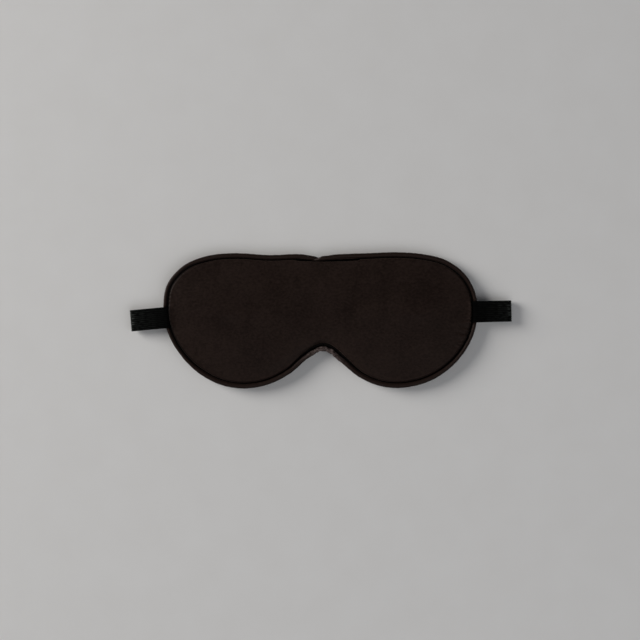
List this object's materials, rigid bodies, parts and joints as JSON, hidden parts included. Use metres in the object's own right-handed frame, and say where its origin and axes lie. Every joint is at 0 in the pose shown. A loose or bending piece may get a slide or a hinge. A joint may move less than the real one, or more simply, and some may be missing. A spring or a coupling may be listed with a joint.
{
  "type": "sleep eye mask",
  "caption": "Padded satin sleep mask with a corded edge, a nose notch and an adjustable ribbed elastic head strap folded behind it.",
  "frame": {"origin": "centre of the bounding box on the surface that the mask lies on", "axes": "+X along the mask's width, +Y towards the brow, +Z out of the front face; the mask lies on its back"},
  "size_m": [0.2446, 0.0871, 0.011],
  "materials": {
    "satin": "satin weave, low sheen",
    "lining": "satin weave, matt side",
    "piping": "bias-cut satin, brighter sheen",
    "cord": "twisted cotton cord",
    "wadding": "lofty fibre",
    "core": "closed foam, matt",
    "elastic": "ribbed knitted elastic",
    "thread": "polyester thread",
    "plastic": "polished"
  },
  "bodies": {
    "mask": {"front_panel": "satin", "front_wadding": "wadding", "blackout_core": "core", "back_wadding": "wadding", "back_panel": "lining", "piping_cover": "piping", "piping_cord": "cord", "perimeter_stitching": "thread", "closing_stitching": "thread", "strap_end_left": "elastic", "strap_end_right": "elastic", "anchor_stitching_left": "thread", "anchor_stitching_right": "thread"},
    "tab_right": {"strap_tab_right": "elastic", "strap_fold_right": "elastic"},
    "tab_left": {"strap_tab_left": "elastic", "strap_fold_left": "elastic"},
    "run_right": {"strap_run_right": "elastic", "strap_return": "elastic"},
    "run_left": {"strap_run_left": "elastic", "ring_loop_stitching": "thread"},
    "ring": {"ring": "plastic"},
    "slider": {"slider": "plastic", "slider_loop_stitching": "thread"}
  },
  "joints": [
    {"name": "strap_open", "type": "hinge", "parent": "mask", "child": "tab_right", "pos_m": [0.09857, 0.00544, 0.006], "axis": [-0.0227, 0.9997, 0], "range_deg": [0, 90]},
    {"name": "left_seam", "type": "hinge", "parent": "mask", "child": "tab_left", "pos_m": [-0.09857, 0.00096, 0.006], "axis": [-0.0227, 0.9997, 0], "range_deg": [-90, 0]},
    {"name": "right_fold", "type": "hinge", "parent": "tab_right", "child": "run_right", "pos_m": [0.11947, 0.00591, 0.0038], "axis": [-0.0227, 0.9997, 0], "range_deg": [-127, 0], "deforming": ["strap_fold_right"]},
    {"name": "left_fold", "type": "hinge", "parent": "tab_left", "child": "run_left", "pos_m": [-0.11947, 0.00049, 0.0038], "axis": [-0.0227, 0.9997, 0], "range_deg": [0, 127], "deforming": ["strap_fold_left"]},
    {"name": "ring_swivel", "type": "hinge", "parent": "run_left", "child": "ring", "pos_m": [-0.005, 0.00309, 0.00293], "axis": [-0.0227, 0.9997, 0], "range_deg": [-37, 0]},
    {"name": "slider_slide", "type": "slide", "parent": "run_right", "child": "slider", "axis": [0.9997, 0.0227, 0], "range_m": [-0.02, 0.035], "deforming": ["strap_return"]}
  ],
  "couplings": [
    {"joint": "left_seam", "follows": "strap_open", "ratio": -1},
    {"joint": "right_fold", "follows": "strap_open", "ratio": -1.4067},
    {"joint": "left_fold", "follows": "strap_open", "ratio": 1.4067},
    {"joint": "ring_swivel", "follows": "strap_open", "ratio": -0.40668}
  ]
}
